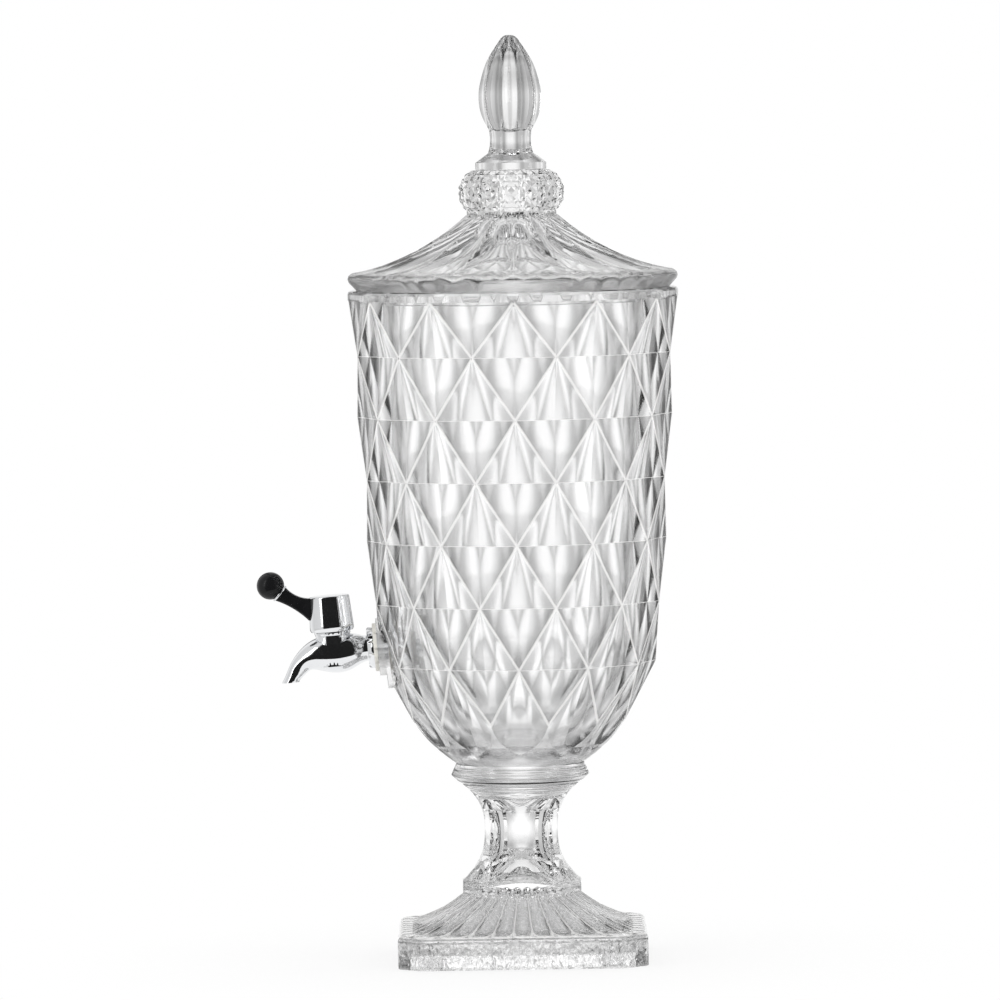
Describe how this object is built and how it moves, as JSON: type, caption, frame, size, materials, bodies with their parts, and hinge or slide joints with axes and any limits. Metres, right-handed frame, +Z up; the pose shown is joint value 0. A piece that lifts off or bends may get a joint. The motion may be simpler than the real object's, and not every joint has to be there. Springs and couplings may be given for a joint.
{
  "type": "glass drinks dispenser",
  "caption": "Footed pressed-glass drinks dispenser with a diamond-cut bowl, fluted lift-off lid with bud finial, square pedestal and quarter-turn chrome tap.",
  "frame": {"origin": "on the ground under the bowl's axis, in the plane of the foot's standing rim", "axes": "+Z up along the bowl's axis; the tap points towards -X"},
  "size_m": [0.2467, 0.1914, 0.5348],
  "materials": {
    "pressed_glass": "polished clear pressed glass",
    "clear_bond": "clear adhesive film",
    "chrome": "bright plated",
    "black_gloss": "glossy black moulding",
    "cream_silicone": "soft translucent washer",
    "seal_rubber": "black sealing ring",
    "white_plastic": "moulded white plastic",
    "steel": "plain screw"
  },
  "bodies": {
    "base": {"glass_bowl": "pressed_glass", "pedestal_foot": "pressed_glass", "pedestal_bond": "clear_bond", "tap_body": "chrome", "tap_outer_gasket": "cream_silicone", "tap_inner_gasket": "cream_silicone", "tap_washer": "white_plastic", "tap_lock_nut": "white_plastic", "plug_retainer": "white_plastic"},
    "lid_body": {"lid": "pressed_glass", "lid_finial": "pressed_glass", "finial_bond": "clear_bond"},
    "handle": {"valve_plug": "white_plastic", "plug_ring_upper": "seal_rubber", "plug_ring_lower": "seal_rubber", "handle_hub": "chrome", "handle_screw": "steel", "hub_cap": "chrome", "handle_lever": "black_gloss", "lever_ferrule": "chrome", "lever_ball": "black_gloss"}
  },
  "joints": [
    {"name": "lid_lift", "type": "slide", "parent": "base", "child": "lid_body", "axis": [0, 0, 1], "range_m": [0, 0.15]},
    {"name": "handle_turn", "type": "hinge", "parent": "base", "child": "handle", "pos_m": [-0.10669, 0, 0.17991], "axis": [-0.0785, 0, 0.9969], "range_deg": [-90, 90]}
  ]
}
